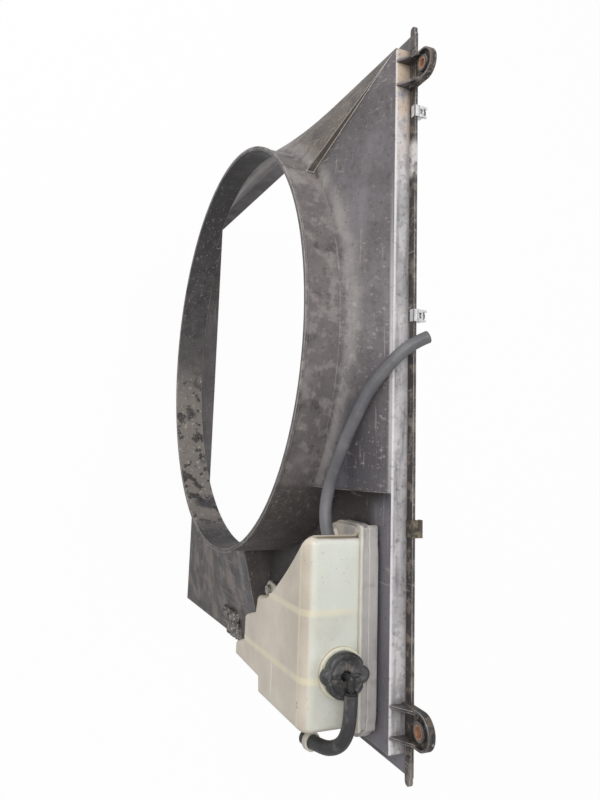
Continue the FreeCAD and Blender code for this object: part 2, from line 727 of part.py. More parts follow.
def elbow():
    """The hose elbow: a stem the cap turns about, and an arm to the right."""
    centre = Vec(neck_x, -size("neck_y"), 0)
    low = cap_roof_z - size("turn_gap") - size("seal_t")
    top = Vec(centre.x, centre.y, edge_z + arm_z)
    stem_r = size("stem_od") / 2
    arm_r = size("hose_bore") / 2 - size("fit_gap")
    arm_length = SHORT_ROUTE[0].x - centre.x + size("nipple_length") - 1
    along = Vec(1, 0, 0)
    solid = Part.makeCylinder(stem_r, top.z - low, Vec(centre.x, centre.y, low))
    solid = solid.fuse([
        Part.makeCylinder(2 * stem_r, size("seal_t"), Vec(centre.x, centre.y, low)),
        Part.makeSphere(arm_r, top),
        Part.makeCylinder(arm_r, arm_length, top, along),
        Part.makeCylinder(size("hose_od") / 2 - 0.6, size("collar_t"),
                          top + along * (SHORT_ROUTE[0].x - centre.x - size("collar_t")), along),
    ])
    way_through = arm_r - size("seal_t")
    solid = solid.cut(Part.makeCylinder(way_through, top.z - low, Vec(centre.x, centre.y, low)))
    return solid.cut(Part.makeCylinder(way_through, arm_length, top, along))


finish(shape_node("cap_elbow", elbow()), "cap_elbow")


# --------------------------------------- torn sealing strip on the right end wall
def sealing_strip():
    """A strip of sealing compound that follows the hood by the right end fold."""
    thick = size("strip_t")
    root = size("ring_root")
    coat = hood(-thick, -thick, root).cut(hood(0, 0, root))
    window = Part.makeBox(size("strip_width"), 3 * size("recess_floor"), size("strip_length"),
                          Vec(box_half - size("strip_width"), -3 * size("recess_floor") - wall,
                              edge_z - size("strip_drop") - size("strip_length")))
    return coat.common(window)


finish(shape_node("sealing_strip", sealing_strip()), "sealing_strip")


doc.recompute()
for item in doc.Objects:
    assert "Invalid" not in item.State and "Error" not in item.State, item.Name
os.makedirs("parts", exist_ok=True)
for node in NODES:
    shape = node.Shape
    assert not shape.isNull() and shape.isValid() and len(shape.Solids) == 1, node.Label
    b = shape.BoundBox
    print("%-18s %8.1f cm3  %s" % (node.Label, shape.Volume / 1000, [round(v, 1) for v in (
        b.XMin, b.XMax, b.YMin, b.YMax, b.ZMin, b.ZMax)]))
    shape.exportStep("parts/%s.step" % node.Label)
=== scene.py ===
import bpy
import bmesh
import math
from mathutils import Matrix, Vector, noise


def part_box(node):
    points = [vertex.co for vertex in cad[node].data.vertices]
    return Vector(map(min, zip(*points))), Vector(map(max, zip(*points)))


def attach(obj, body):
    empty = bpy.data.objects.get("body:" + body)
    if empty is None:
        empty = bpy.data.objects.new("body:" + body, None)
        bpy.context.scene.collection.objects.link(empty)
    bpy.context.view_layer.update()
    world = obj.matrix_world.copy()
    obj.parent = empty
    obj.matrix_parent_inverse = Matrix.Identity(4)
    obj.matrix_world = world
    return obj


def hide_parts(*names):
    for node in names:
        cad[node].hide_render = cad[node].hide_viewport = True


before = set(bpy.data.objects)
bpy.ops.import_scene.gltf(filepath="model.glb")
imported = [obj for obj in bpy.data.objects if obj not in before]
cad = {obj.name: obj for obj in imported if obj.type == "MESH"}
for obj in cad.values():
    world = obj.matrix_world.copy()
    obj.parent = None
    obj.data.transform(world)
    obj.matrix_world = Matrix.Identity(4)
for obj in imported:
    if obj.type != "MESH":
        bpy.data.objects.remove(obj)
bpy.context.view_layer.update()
scene = bpy.context.scene

# ------------------------------------------------------------------- camera
# The camera stands on the engine side, above the part, rolled a quarter turn,
# so that the top edge of the shroud runs down the right of the view.
camera_data = bpy.data.cameras.new("engine_side_camera")
camera = bpy.data.objects.new("engine_side_camera", camera_data)
scene.collection.objects.link(camera)
scene.camera = camera
camera_right = Vector((-0.03179, 0.91442, 0.40352))
camera_down = Vector((0.98796, 0.08990, -0.12589))
camera_ahead = Vector((-0.15140, 0.39466, -0.90627))
camera_turn = Matrix((camera_right, -camera_down, -camera_ahead)).transposed().to_4x4()
camera.matrix_world = Matrix.Translation((0.0717, -0.3561, 0.5249)) @ camera_turn
camera_data.sensor_width = 36
camera_data.lens = 30.75
camera_data.shift_y = -0.0706
camera_data.clip_start = 0.01

# -------------------------------------------------------------------- hoses
# Two extruded coolant hoses of EPDM rubber, 12 mm outside and 7 mm inside.  The
# long one is pushed over the tank's nipple and ends open past the top edge; the
# short one leaves the cap's elbow and ends just past the ring on the tank.
MM = 0.001
HOSE_RADIUS = 6.0
HOSE_BORE = 3.5
TUBE_SIDES = 48
LONG_ROUTE = [(155.66, -62, -66.8), (143.0, -62, -78.2), (112, -60, -79), (76, -57, -59),
              (43, -50, -45), (13, -39, -34), (-9, -27, -20), (-27, -12, -9), (-35, 5, -5)]
SHORT_ROUTE = [(279, -58, -26), (300, -58, -26), (319, -61, -31), (329, -66, -46),
               (331, -71, -62), (331.5, -74.5, -83)]


def rgb(hex_colour):
    """A hex sRGB colour as the linear values that a shader socket takes."""
    shares = [int(hex_colour[i:i + 2], 16) / 255 for i in (1, 3, 5)]
    linear = [c / 12.92 if c <= 0.04045 else ((c + 0.055) / 1.055) ** 2.4 for c in shares]
    return (*linear, 1.0)


def add_node(tree, kind, settings=None, inputs=None):
    """One shader node, with its settings, and a value or a link on each input."""
    made = tree.nodes.new("ShaderNode" + kind)
    for name, value in (settings or {}).items():
        setattr(made, name, value)
    for name, value in (inputs or {}).items():
        if isinstance(value, bpy.types.NodeSocket):
            tree.links.new(value, made.inputs[name])
        else:
            made.inputs[name].default_value = value
    return made


def new_finish(name):
    """An empty material: itself, its node tree and its main shader."""
    material = bpy.data.materials.new(name)
    material.use_nodes = True
    return material, material.node_tree, material.node_tree.nodes["Principled BSDF"]


def patches(tree, size, low, high, stretch=(1, 1, 1), detail=5.0, rough=0.55):
    """A cloudy mask from 0 to 1.  Its blotches are about size millimetres across."""
    spot = add_node(tree, "TexCoord").outputs["Object"]
    spot = add_node(tree, "VectorMath", {"operation": "MULTIPLY"}, {0: spot, 1: stretch})
    cloud = add_node(tree, "TexNoise", None, {
        "Vector": spot.outputs[0], "Scale": 0.5 / (size * MM), "Detail": detail,
        "Roughness": rough})
    return add_node(tree, "MapRange", {"interpolation_type": "SMOOTHSTEP"}, {
        "Value": cloud.outputs[0], "From Min": low, "From Max": high}).outputs[0]


def times(tree, *masks):
    """The product of several masks."""
    total = masks[0]
    for mask in masks[1:]:
        total = add_node(tree, "Math", {"operation": "MULTIPLY"},
                         {0: total, 1: mask}).outputs[0]
    return total


def coat(tree, under, over, mask, how="MIX"):
    """One layer of colour over another where a mask shows it."""
    under, over = (rgb(c) if isinstance(c, str) else c for c in (under, over))
    return add_node(tree, "Mix", {"data_type": "RGBA", "blend_type": how},
                    {0: mask, 6: under, 7: over}).outputs[2]


def relief(tree, height, depth, under=None):
    """A bump of a given depth in millimetres, over another one if there is one."""
    links = {"Height": height, "Distance": depth * MM, "Strength": 1.0}
    if under is not None:
        links["Normal"] = under
    return add_node(tree, "Bump", None, links).outputs[0]


def rubber(name, tone, haze):
    """Aged rubber: a matt skin with a paler bloom, rubbed spots and fine pits."""
    material, tree, shader = new_finish(name)
    bloom = patches(tree, 22, 0.35, 0.75)
    fine = patches(tree, 1.6, 0.3, 0.7)
    rubbed = times(tree, patches(tree, 7, 0.55, 0.72), 0.45)
    colour = coat(tree, tone, haze, bloom)
    colour = coat(tree, colour, "#77706a", rubbed)
    tree.links.new(colour, shader.inputs["Base Color"])
    gloss = add_node(tree, "MapRange", None, {"Value": bloom, "To Min": 0.38, "To Max": 0.56})
    tree.links.new(gloss.outputs[0], shader.inputs["Roughness"])
    tree.links.new(relief(tree, fine, 0.12), shader.inputs["Normal"])
    shader.inputs["IOR"].default_value = 1.5
    return material


def hose_curve(name, route, finish):
    """A smooth tube whose control points are the route's points."""
    data = bpy.data.curves.new(name, "CURVE")
    data.dimensions = "3D"
    data.bevel_depth = HOSE_RADIUS * MM
    data.bevel_resolution = 8
    data.resolution_u = 24
    spline = data.splines.new("NURBS")
    spline.points.add(len(route) - 1)
    for point, place in zip(spline.points, route):
        point.co = (*(v * MM for v in place), 1)
    spline.order_u = 3
    spline.use_endpoint_u = True
    data.materials.append(finish)
    hose = bpy.data.objects.new(name, data)
    scene.collection.objects.link(hose)
    return hose


def lathe(name, profile, origin, way, finish, around=TUBE_SIDES):
    """A turned piece: a profile of (radius, along) in millimetres about a line."""
    turn = way.to_track_quat("Z", "Y")
    verts, faces = [], []
    for radius, along in profile:
        for i in range(around):
            a = math.tau * i / around
            verts.append(origin + turn @ Vector((radius * math.cos(a) * MM,
                                                 radius * math.sin(a) * MM, along * MM)))
    for row in range(len(profile) - 1):
        for i in range(around):
            j = (i + 1) % around
            faces.append((row * around + i, row * around + j,
                          (row + 1) * around + j, (row + 1) * around + i))
    mesh = bpy.data.meshes.new(name)
    mesh.from_pydata(verts, [], faces)
    mesh.polygons.foreach_set("use_smooth", [True] * len(faces))
    mesh.materials.append(finish)
    piece = bpy.data.objects.new(name, mesh)
    scene.collection.objects.link(piece)
    return piece


def cut_end(name, tip, before, skin, bore):
    """The cut face of a hose: a ring with soft corners and the bore behind it."""
    tip, before = Vector(tip) * MM, Vector(before) * MM
    profile = [(HOSE_RADIUS, -1.5), (HOSE_RADIUS, -0.3), (HOSE_RADIUS - 0.3, 0.05),
               (HOSE_BORE + 0.3, 0.05), (HOSE_BORE, -0.3), (HOSE_BORE, -14), (0.01, -14)]
    bore_row = 4
    end = lathe(name, profile, tip, (tip - before).normalized(), skin)
    end.data.materials.append(bore)
    for polygon in end.data.polygons:
        if polygon.index // TUBE_SIDES >= bore_row:
            polygon.material_index = 1
    return end


# the long hose has greyed, the short one is still nearly black
greyed_rubber = rubber("epdm_rubber_extruded_greyed", "#57565a", "#757477")
black_rubber = rubber("epdm_rubber_extruded_black", "#29292b", "#3f3f42")
bore_rubber = rubber("epdm_rubber_hose_bore", "#141314", "#1d1c1c")
for name, node, route, length, skin in (
        ("long_hose", "radiator_hose", LONG_ROUTE, 0.232, greyed_rubber),
        ("short_hose", "vent_hose", SHORT_ROUTE, 0.0966, black_rubber)):
    hose = hose_curve(name, route, skin)
    end = cut_end(name + "_end", route[-1], route[-2], skin, bore_rubber)
    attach(hose, "shroud")
    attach(end, "shroud")
    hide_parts(node)

# ------------------------------------------------------------ shroud moulding
# One injection moulding of black talc-filled polypropylene: flange, hood and fan
# ring.  Years of heat have greyed it; dust lies on what faces up, and shade is painted into its
# corners.
RING_X, RING_Z = -55.0, -319.0
RING_BORE = 251.0
STRIP_Z = -26.5
FLANGE_Y = -3.0
EAR_X = -306.0
SOFT_SAMPLES = 6
RECESS_X, RECESS_FOOT_Z = 110.0, -340.0

shroud_plastic, tree, shader = new_finish("polypropylene_talc_filled_moulded_weathered")


def ramp(tree, value, low, high):
    """A soft step from 0 at low to 1 at high; low may be the larger."""
    if low > high:
        settings = {"Value": value, "From Min": high, "From Max": low,
                    "To Min": 1.0, "To Max": 0.0}
    else:
        settings = {"Value": value, "From Min": low, "From Max": high}
    return add_node(tree, "MapRange", {"interpolation_type": "SMOOTHSTEP"},
                    settings).outputs[0]


def places(tree):
    """The point's x, y and z in millimetres, and its surface's direction."""
    point = add_node(tree, "VectorMath", {"operation": "SCALE"}, {
        0: add_node(tree, "TexCoord").outputs["Object"], "Scale": 1 / MM})
    facing = add_node(tree, "NewGeometry").outputs["Normal"]
    split = add_node(tree, "SeparateXYZ", None, {0: point.outputs[0]})
    sides = add_node(tree, "SeparateXYZ", None, {0: facing})
    return point.outputs[0], split.outputs, sides.outputs, facing


point, (px, py, pz), (nx, ny, nz), facing = places(tree)
flat_point = add_node(tree, "VectorMath", {"operation": "MULTIPLY"}, {0: point, 1: (1, 0, 1)})
ring_far = add_node(tree, "VectorMath", {"operation": "DISTANCE"},
                    {0: flat_point.outputs[0], 1: (RING_X, 0, RING_Z)}).outputs["Value"]

# what faces up, where it is on the hood, and where the ring is
faces_up = ramp(tree, nz, 0.45, 0.95)
top_strip = times(tree, faces_up, ramp(tree, pz, STRIP_Z - 9, STRIP_Z - 3),
                  ramp(tree, py, -23, -21), ramp(tree, py, FLANGE_Y + 1, FLANGE_Y - 0.2))
inside_ring = times(tree, ramp(tree, ring_far, RING_BORE + 1.6, RING_BORE + 0.9),
                    ramp(tree, py, -12, -16))
barrel = times(tree, ramp(tree, ring_far, RING_BORE + 1.5, RING_BORE + 2.5),
               ramp(tree, ring_far, RING_BORE + 30, RING_BORE + 8), ramp(tree, py, -30, -42))
crease = times(tree, ramp(tree, ring_far, RING_BORE + 5, RING_BORE + 10),
               ramp(tree, ring_far, RING_BORE + 22, RING_BORE + 12), ramp(tree, py, -24, -34))
panel_low = times(tree, ramp(tree, px, -60, 10), ramp(tree, ny, -0.55, -0.9))
recess_painted_shade = times(tree, ramp(tree, px, RECESS_X - 6, RECESS_X + 2),
               ramp(tree, pz, RECESS_FOOT_Z - 6, RECESS_FOOT_Z + 2), ramp(tree, pz, -36, -56))
beside_tank_painted_light = times(tree, ramp(tree, px, RECESS_X + 2, RECESS_X + 20), ramp(tree, pz, -70, -50),
                    ramp(tree, pz, STRIP_Z, STRIP_Z - 1), ramp(tree, py, -24, -22))
ears = times(tree, ramp(tree, pz, -19, -14), ramp(tree, py, 1, -1))
ear_pocket = times(tree, top_strip, ramp(tree, px, EAR_X + 14, EAR_X + 12),
                   ramp(tree, px, EAR_X - 14, EAR_X - 12))
flange = times(tree, ramp(tree, pz, STRIP_Z - 1, STRIP_Z + 1),
               ramp(tree, py, FLANGE_Y - 1.5, FLANGE_Y - 0.2))
worn_flange = times(tree, flange, ramp(tree, px, -238, -228), ramp(tree, px, -192, -204))

# the end slope stands on the far side of a line from the box's corner to the ring
RIDGE_X = -333.0
RIDGE_TURN = (0.754, 0.0, 0.657)
past_ridge = add_node(tree, "VectorMath", {"operation": "DOT_PRODUCT"}, {
    0: add_node(tree, "VectorMath", {"operation": "SUBTRACT"},
                {0: point, 1: (RIDGE_X, 0, STRIP_Z)}).outputs[0],
    1: RIDGE_TURN}).outputs["Value"]
outside_ring = ramp(tree, ring_far, RING_BORE + 2, RING_BORE + 3)
end_ramp = times(tree, ramp(tree, past_ridge, 1, -1), ramp(tree, py, -8, -14), outside_ring,
                 ramp(tree, pz, -330, -310))
ridge = times(tree, ramp(tree, past_ridge, 2.8, 0.8), ramp(tree, past_ridge, -1.6, -0.4),
              ramp(tree, py, -16, -20), outside_ring, ramp(tree, pz, -160, -150))
ledge = times(tree, end_ramp, ramp(tree, ring_far, RING_BORE + 34, RING_BORE + 8))

# the plastic itself: greyed skin, in slow blotches and long hazes over a fine grain
blotch = patches(tree, 46, 0.36, 0.66)
cloud = patches(tree, 13, 0.34, 0.70)
haze = patches(tree, 26, 0.42, 0.68, stretch=(0.3, 1, 1))
grain = patches(tree, 1.7, 0.25, 0.75, detail=2.0)
colour = coat(tree, "#5d5758", "#716c70", blotch)
colour = coat(tree, colour, "#3b3738", times(tree, patches(tree, 3.2, 0.48, 0.66, detail=8.0), 0.35))
colour = coat(tree, colour, "#4f4a4c", times(tree, cloud, 0.4))
colour = coat(tree, colour, "#8f8a8e", times(tree, haze, 0.32))
colour = coat(tree, colour, "#3f3d42", times(tree, panel_low, 0.85))
colour = coat(tree, colour, "#7c7a82", times(tree, panel_low, haze, 0.6))

# the end slope: browner, with pale dust where it lands on the ring
colour = coat(tree, colour, "#463e3a", times(tree, end_ramp, 0.92))
colour = coat(tree, colour, "#62584f", times(tree, end_ramp, patches(tree, 16, 0.35, 0.65), 0.8))
colour = coat(tree, colour, "#8a7f73", times(tree, end_ramp, patches(tree, 2.2, 0.55, 0.66), 0.5))
colour = coat(tree, colour, "#a3988a", times(tree, ledge, patches(tree, 10, 0.35, 0.6), 0.8))

# the barrel: brown mottling over violet grey, with a painted highlight where it runs into the hood
colour = coat(tree, colour, "#625c5c", times(tree, barrel, 0.85))
colour = coat(tree, colour, "#97908e", times(tree, barrel, patches(tree, 40, 0.48, 0.66), 0.75))
colour = coat(tree, colour, "#8d8784", times(tree, barrel, patches(tree, 7, 0.5, 0.62), 0.55))
colour = coat(tree, colour, "#3d3635", times(tree, barrel, patches(tree, 11, 0.56, 0.66), 0.7))
# painted highlight: a paler band along the crease
colour = coat(tree, colour, "#9b9694", times(tree, crease, patches(tree, 30, 0.25, 0.6), 0.6))

# inside the ring: dark, then pale dried mud with black splashes lower down
colour = coat(tree, colour, "#323033", times(tree, inside_ring, 0.95))
mud_reach = times(tree, inside_ring, ramp(tree, px, -90, 10), ramp(tree, pz, -380, -440))
mud = times(tree, mud_reach, patches(tree, 34, 0.36, 0.44, detail=8.0))
colour = coat(tree, colour, "#77706b", times(tree, mud, 0.9))
flakes = times(tree, mud_reach, patches(tree, 7, 0.56, 0.585, detail=3.0))
colour = coat(tree, colour, "#211f20", times(tree, flakes, 0.9))
colour = coat(tree, colour, "#a79d93", times(tree, mud, patches(tree, 3, 0.6, 0.66), 0.7))

# the low end of the hood is browner, and scraped
low_end = times(tree, ramp(tree, px, RECESS_X - 14, RECESS_X + 30),
                ramp(tree, pz, RECESS_FOOT_Z - 8, RECESS_FOOT_Z - 20), outside_ring)
colour = coat(tree, colour, "#45403e", times(tree, low_end, 0.85))
colour = coat(tree, colour, "#7b706a", times(tree, low_end, patches(tree, 14, 0.46, 0.62), 0.7))

# painted shade in the recess behind the tank, and painted light on its top edge, which shows past
# the tank
colour = coat(tree, colour, "#46413f", times(tree, recess_painted_shade, 0.75))
colour = coat(tree, colour, "#747178", times(tree, beside_tank_painted_light, 0.9))

# dust on what faces up, thickest along the narrow strip over the hood
dust_cloud = patches(tree, 8, 0.3, 0.7)
streaks = patches(tree, 3.4, 0.45, 0.66, stretch=(0.1, 1, 1))
colour = coat(tree, colour, "#8d867f", times(tree, faces_up, dust_cloud, 0.15))
colour = coat(tree, colour, "#aba8aa", times(tree, top_strip, 0.95))
colour = coat(tree, colour, "#d0cccd", times(tree, top_strip, patches(tree, 26, 0.4, 0.62), 0.7))
colour = coat(tree, colour, "#6b696e", times(tree, top_strip, streaks, 0.6))
colour = coat(tree, colour, "#7d7a7c", times(tree, top_strip, patches(tree, 3, 0.5, 0.64), 0.45))
left_end = ramp(tree, px, -170, -290)
colour = coat(tree, colour, "#c7b39f", times(tree, top_strip, patches(tree, 9, 0.42, 0.6),
                                            left_end, 0.85))
colour = coat(tree, colour, "#9a8570", times(tree, top_strip, ramp(tree, py, -9, -4),
                                            left_end, 0.8))
colour = coat(tree, colour, "#cbb69e", times(tree, ear_pocket, patches(tree, 8, 0.3, 0.5), 0.9))
# a painted highlight along the strip's front edge
colour = coat(tree, colour, "#e2dfdf", times(tree, top_strip, ramp(tree, py, -16.8, -18.6), 0.75))

# flange and ears are nearly black, rubbed pale in places
colour = coat(tree, colour, "#3c3735", times(tree, flange, 0.85))
colour = coat(tree, colour, "#8b7f74", times(tree, flange, patches(tree, 6, 0.5, 0.6), 0.7))
colour = coat(tree, colour, "#e4e0dd", times(tree, worn_flange, patches(tree, 9, 0.38, 0.5)))
colour = coat(tree, colour, "#2b2827", times(tree, ears, 0.9))
colour = coat(tree, colour, "#6e6054", times(tree, ears, patches(tree, 5, 0.5, 0.6), 0.6))
colour = coat(tree, colour, "#c9c2ba", times(tree, ears, patches(tree, 1.8, 0.6, 0.66), 0.6))

# painted shade in the corners, rubbed edges, a painted highlight along the ridge, and fine scratches
# over everything
corners = add_node(tree, "AmbientOcclusion", {"samples": SOFT_SAMPLES, "only_local": True},
                   {"Distance": 0.016}).outputs["AO"]
clear = add_node(tree, "Math", {"operation": "SUBTRACT"}, {0: 1.0, 1: ridge}).outputs[0]
# painted shade: the colour darkens where the corners close in
corner_painted_shade = times(tree, ramp(tree, corners, 0.78, 0.40), clear)
colour = coat(tree, colour, "#2f2a28", times(tree, corner_painted_shade, 0.6))
soft_edge = add_node(tree, "Bevel", {"samples": SOFT_SAMPLES}, {"Radius": 0.0016}).outputs[0]
bend = add_node(tree, "VectorMath", {"operation": "DOT_PRODUCT"},
                {0: soft_edge, 1: facing}).outputs["Value"]
rubbed = times(tree, ramp(tree, bend, 0.985, 0.86), ramp(tree, corners, 0.6, 0.9),
               patches(tree, 11, 0.30, 0.58), clear)
colour = coat(tree, colour, "#5d544c", times(tree, ridge, 0.8))
colour = coat(tree, colour, "#c3bebb", times(tree, rubbed, 0.8))
# a painted highlight along the ridge's convex edge
ridge_painted_highlight = times(tree, ridge, ramp(tree, bend, 0.99, 0.93), ramp(tree, corners, 0.95, 0.86))
colour = coat(tree, colour, "#d4cfcb", times(tree, ridge_painted_highlight, 0.95))
for lie, share in (((1, 1, 0.06), 0.35), ((0.05, 1, 1), 0.3), ((0.5, 0.5, 0.12), 0.25)):
    lines = patches(tree, 1.8, 0.63, 0.72, stretch=lie, detail=2.0)
    lines = times(tree, lines, patches(tree, 60, 0.42, 0.58), share)
    colour = coat(tree, colour, "#b7b0ac", lines)
specks = times(tree, patches(tree, 1.5, 0.62, 0.70), 0.4)
colour = coat(tree, colour, "#a9a199", specks)
pits = times(tree, patches(tree, 1.8, 0.58, 0.70), 0.4)
colour = coat(tree, colour, "#2c2828", pits)
tree.links.new(colour, shader.inputs["Base Color"])

sheen = add_node(tree, "MapRange", None, {"Value": cloud, "To Min": 0.46, "To Max": 0.62})
dull = add_node(tree, "Mix", {"data_type": "FLOAT"},
                {0: top_strip, 2: sheen.outputs[0], 3: 0.85}).outputs[0]
tree.links.new(dull, shader.inputs["Roughness"])
shader.inputs["IOR"].default_value = 1.49
surface = relief(tree, blotch, 0.5, soft_edge)
surface = relief(tree, cloud, 0.10, surface)
surface = relief(tree, grain, 0.05, surface)
surface = relief(tree, flakes, 0.35, surface)
tree.links.new(surface, shader.inputs["Normal"])
cad["shroud_moulding"].material_slots[0].material = shroud_plastic

# ----------------------------------------------------------- overflow tank
# Two injection-moulded shells of natural HDPE, hot-plate welded round the seam.
# The plastic is milky and lets light through; it has yellowed along its webs.
WEBS = (216.0, 273.0)
RIB_Z = -121.0
TANK_FRONT_Y, TANK_TOP_Z = -94.0, -47.0
TOP_ROUND = 12.0
BOSS = (267.0, -58.0)
BOSS_RADIUS = 22.0


def milky_plastic(name, skin, deep, gloss):
    """Natural HDPE with light scattering a few millimetres under a waxy skin."""
    material, tree, shader = new_finish(name)
    cloudy = patches(tree, 26, 0.32, 0.70)
    colour = coat(tree, skin, deep, cloudy)
    shader.inputs["Subsurface Weight"].default_value = 0.45
    shader.inputs["Subsurface Radius"].default_value = (1.0, 0.86, 0.62)
    shader.inputs["Subsurface Scale"].default_value = 0.010
    shader.inputs["IOR"].default_value = 1.54
    shader.inputs["Roughness"].default_value = gloss
    return material, tree, shader, colour


def line_at(tree, value, middle, half):
    """A soft line where a value passes its middle."""
    return times(tree, ramp(tree, value, middle - half, middle - half * 0.25),
                 ramp(tree, value, middle + half, middle + half * 0.25))


tank_hdpe, tree, shader, colour = milky_plastic(
    "hdpe_natural_moulded_aged", "#d2c8b9", "#bbb0a2", 0.40)
point, (px, py, pz), (nx, ny, nz), facing = places(tree)
top_face = ramp(tree, nz, 0.75, 0.97)
# painted light: the top face is painted paler and bluer, as lit from above
colour = coat(tree, colour, "#d5d8cc", times(tree, top_face, 0.85))
colour = coat(tree, colour, "#dfe0d8", times(tree, top_face, patches(tree, 30, 0.42, 0.66), 0.6))
low_side = times(tree, ramp(tree, pz, -80, -160), ramp(tree, ny, -0.6, -0.95))
colour = coat(tree, colour, "#c2b5a4", times(tree, low_side, patches(tree, 18, 0.3, 0.7), 0.6))
dull_end = times(tree, top_face, ramp(tree, px, 212, 222), patches(tree, 22, 0.3, 0.6))
colour = coat(tree, colour, "#c3c0b3", times(tree, dull_end, 0.7))
# painted light: faces turned downwards are painted paler
underside_painted_light = times(tree, ramp(tree, nz, -0.1, -0.5), 0.6)
colour = coat(tree, colour, "#ddd6c8", underside_painted_light)
round_edge = line_at(tree, pz, TANK_TOP_Z - TOP_ROUND, 2.6)
colour = coat(tree, colour, "#d9cfae", times(tree, round_edge, ramp(tree, ny, -0.7, -0.95), 0.7))
for web_x in WEBS:
    web = times(tree, line_at(tree, px, web_x, 4.4), patches(tree, 20, 0.2, 0.55))
    colour = coat(tree, colour, "#e0d7b9", times(tree, web, 0.6))
rib = times(tree, line_at(tree, pz, RIB_Z, 1.3), ramp(tree, px, 275, 277), ramp(tree, px, 305, 303),
            ramp(tree, py, TANK_FRONT_Y + 1, TANK_FRONT_Y))
colour = coat(tree, colour, "#ece4cf", times(tree, rib, 0.8))
boss_far = add_node(tree, "VectorMath", {"operation": "DISTANCE"}, {
    0: add_node(tree, "VectorMath", {"operation": "MULTIPLY"}, {0: point, 1: (1, 1, 0)}).outputs[0],
    1: (*BOSS, 0)}).outputs["Value"]
# a painted highlight on the ring round the boss
boss_rim_painted_highlight = times(tree, line_at(tree, boss_far, BOSS_RADIUS - 1, 2.2), top_face)
colour = coat(tree, colour, "#ece6cc", times(tree, boss_rim_painted_highlight, 0.8))
lip = ramp(tree, py, -42.0, -40.5)
colour = coat(tree, colour, "#c3beb4", times(tree, lip, patches(tree, 14, 0.3, 0.6), 0.8))
# painted shade where the tank's corners close in
corners = add_node(tree, "AmbientOcclusion", {"samples": SOFT_SAMPLES, "only_local": True},
                   {"Distance": 0.008}).outputs["AO"]
colour = coat(tree, colour, "#b3a793", times(tree, ramp(tree, corners, 0.7, 0.35), 0.35))
colour = coat(tree, colour, "#a69a88", times(tree, patches(tree, 1.8, 0.63, 0.68), 0.35))
stains = times(tree, patches(tree, 2.4, 0.69, 0.71), patches(tree, 40, 0.5, 0.6), 0.8)
colour = coat(tree, colour, "#6b5f50", stains)
tree.links.new(colour, shader.inputs["Base Color"])
soft_edge = add_node(tree, "Bevel", {"samples": SOFT_SAMPLES}, {"Radius": 0.0022}).outputs[0]
surface = relief(tree, patches(tree, 34, 0.2, 0.8, detail=1.0), 1.1, soft_edge)
surface = relief(tree, patches(tree, 6, 0.3, 0.7), 0.10, surface)
tree.links.new(surface, shader.inputs["Normal"])
cad["tank_front_shell"].material_slots[0].material = tank_hdpe

rim_hdpe, tree, shader, colour = milky_plastic(
    "hdpe_natural_thin_rim_soiled", "#b3afac", "#a09c9a", 0.42)
point, (px, py, pz), (nx, ny, nz), facing = places(tree)
worn_line = add_node(tree, "Bevel", {"samples": SOFT_SAMPLES}, {"Radius": 0.0018}).outputs[0]
bend = add_node(tree, "VectorMath", {"operation": "DOT_PRODUCT"},
                {0: worn_line, 1: facing}).outputs["Value"]
colour = coat(tree, colour, "#cbc8c2", times(tree, ramp(tree, bend, 0.99, 0.88), 0.7))
low_tab = ramp(tree, pz, -70, -95)
colour = coat(tree, colour, "#c6beb0", times(tree, low_tab, 0.8))
soil = times(tree, patches(tree, 9, 0.46, 0.66), 0.5)
colour = coat(tree, colour, "#7f7972", soil)
tree.links.new(colour, shader.inputs["Base Color"])
tree.links.new(relief(tree, patches(tree, 8, 0.3, 0.7), 0.25, worn_line),
               shader.inputs["Normal"])
cad["tank_rear_shell"].material_slots[0].material = rim_hdpe

# ------------------------------------------------------------------ tank cap
# A quarter-turn cap of black glass-filled nylon with two finger lobes.  A dished
# top holds a four-pointed hollow round the vent, where brown dust has settled.
CAP_X, CAP_Y = 267.0, -58.0
CAP_TOP, CAP_FOOT = -33.0, -43.4
CAP_RADIUS, CAP_MOUTH, CAP_ROOF = 20.0, 17.4, 4.0
LOBE_REACH, LOBE_RADIUS, LOBE_DEPTH = 23.4, 7.0, 9.0
STEM_HOLE = 3.7
CAP_AROUND, CAP_RINGS = 192, 26
CORNER_POWER = 30.0      # a high power leaves only a small round between disc and lobe


def lobed_radius(a):
    """The cap's outline: a disc with a finger lobe at each end of the Y line."""
    notch = CAP_RADIUS - 1.6 * math.exp(-((abs(math.cos(a)) - 0.40) / 0.10) ** 2)
    middle = LOBE_REACH - LOBE_RADIUS
    inside = LOBE_RADIUS ** 2 - (middle * math.cos(a)) ** 2
    if inside <= 0:
        return notch
    lobe = middle * abs(math.sin(a)) + math.sqrt(inside)
    return (notch ** CORNER_POWER + lobe ** CORNER_POWER) ** (1 / CORNER_POWER)


def smooth(value, low, high):
    """A soft step from 0 to 1."""
    share = min(1.0, max(0.0, (value - low) / (high - low)))
    return share * share * (3 - 2 * share)


def cap_height(r, a):
    """How far the top lies below its highest ring at a radius and an angle."""
    star = 4.6 + 9.5 * abs(math.cos(2 * a)) ** 7
    hollow = 3.0 * (1 - smooth(r, star - 0.9, star + 0.6))
    dish = 0.9 * (1 - smooth(r, 13.5, 17.0))
    lobe_slope = 0.7 * smooth(r, 18.5, LOBE_REACH)
    moulding = 0.22 * noise.noise(Vector((r * math.cos(a) / 3, r * math.sin(a) / 3, 0)))
    return max(hollow, dish) + lobe_slope + moulding + 0.35


